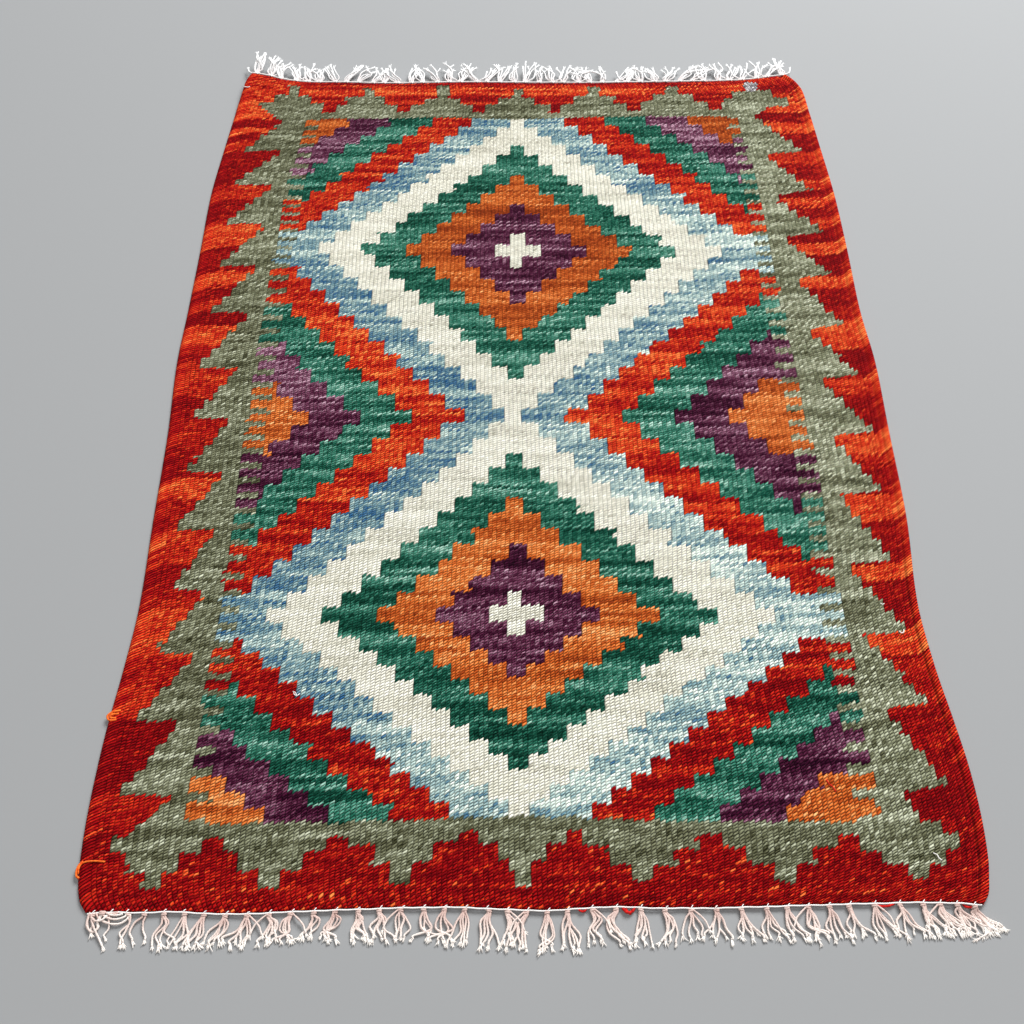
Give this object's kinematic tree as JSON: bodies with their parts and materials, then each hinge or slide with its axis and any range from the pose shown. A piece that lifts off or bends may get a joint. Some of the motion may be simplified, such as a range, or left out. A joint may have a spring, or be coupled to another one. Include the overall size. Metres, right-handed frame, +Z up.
{
  "type": "kilim rug",
  "caption": "Small rectangular flat-woven rug with stepped diamonds, corded selvedges and a cotton fringe along each end, lying flat.",
  "frame": {"origin": "middle of the overall length and width with the fringes, on the level the rug lies on", "axes": "+Z up out of the face, +Y along the warps from the near end to the far end, +X across"},
  "size_m": [0.6086, 0.9248, 0.0105],
  "materials": {
    "wool_weave": "matt hand-spun wool, weft-faced flat weave",
    "cotton_cord": "undyed twined cotton",
    "cotton_fringe": "undyed plied cotton, frayed at the tips"
  },
  "bodies": {
    "root": {"woven_body": "wool_weave", "end_cord_near": "cotton_cord", "end_cord_far": "cotton_cord", "fringe_near": "cotton_fringe", "fringe_far": "cotton_fringe"}
  },
  "joints": []
}
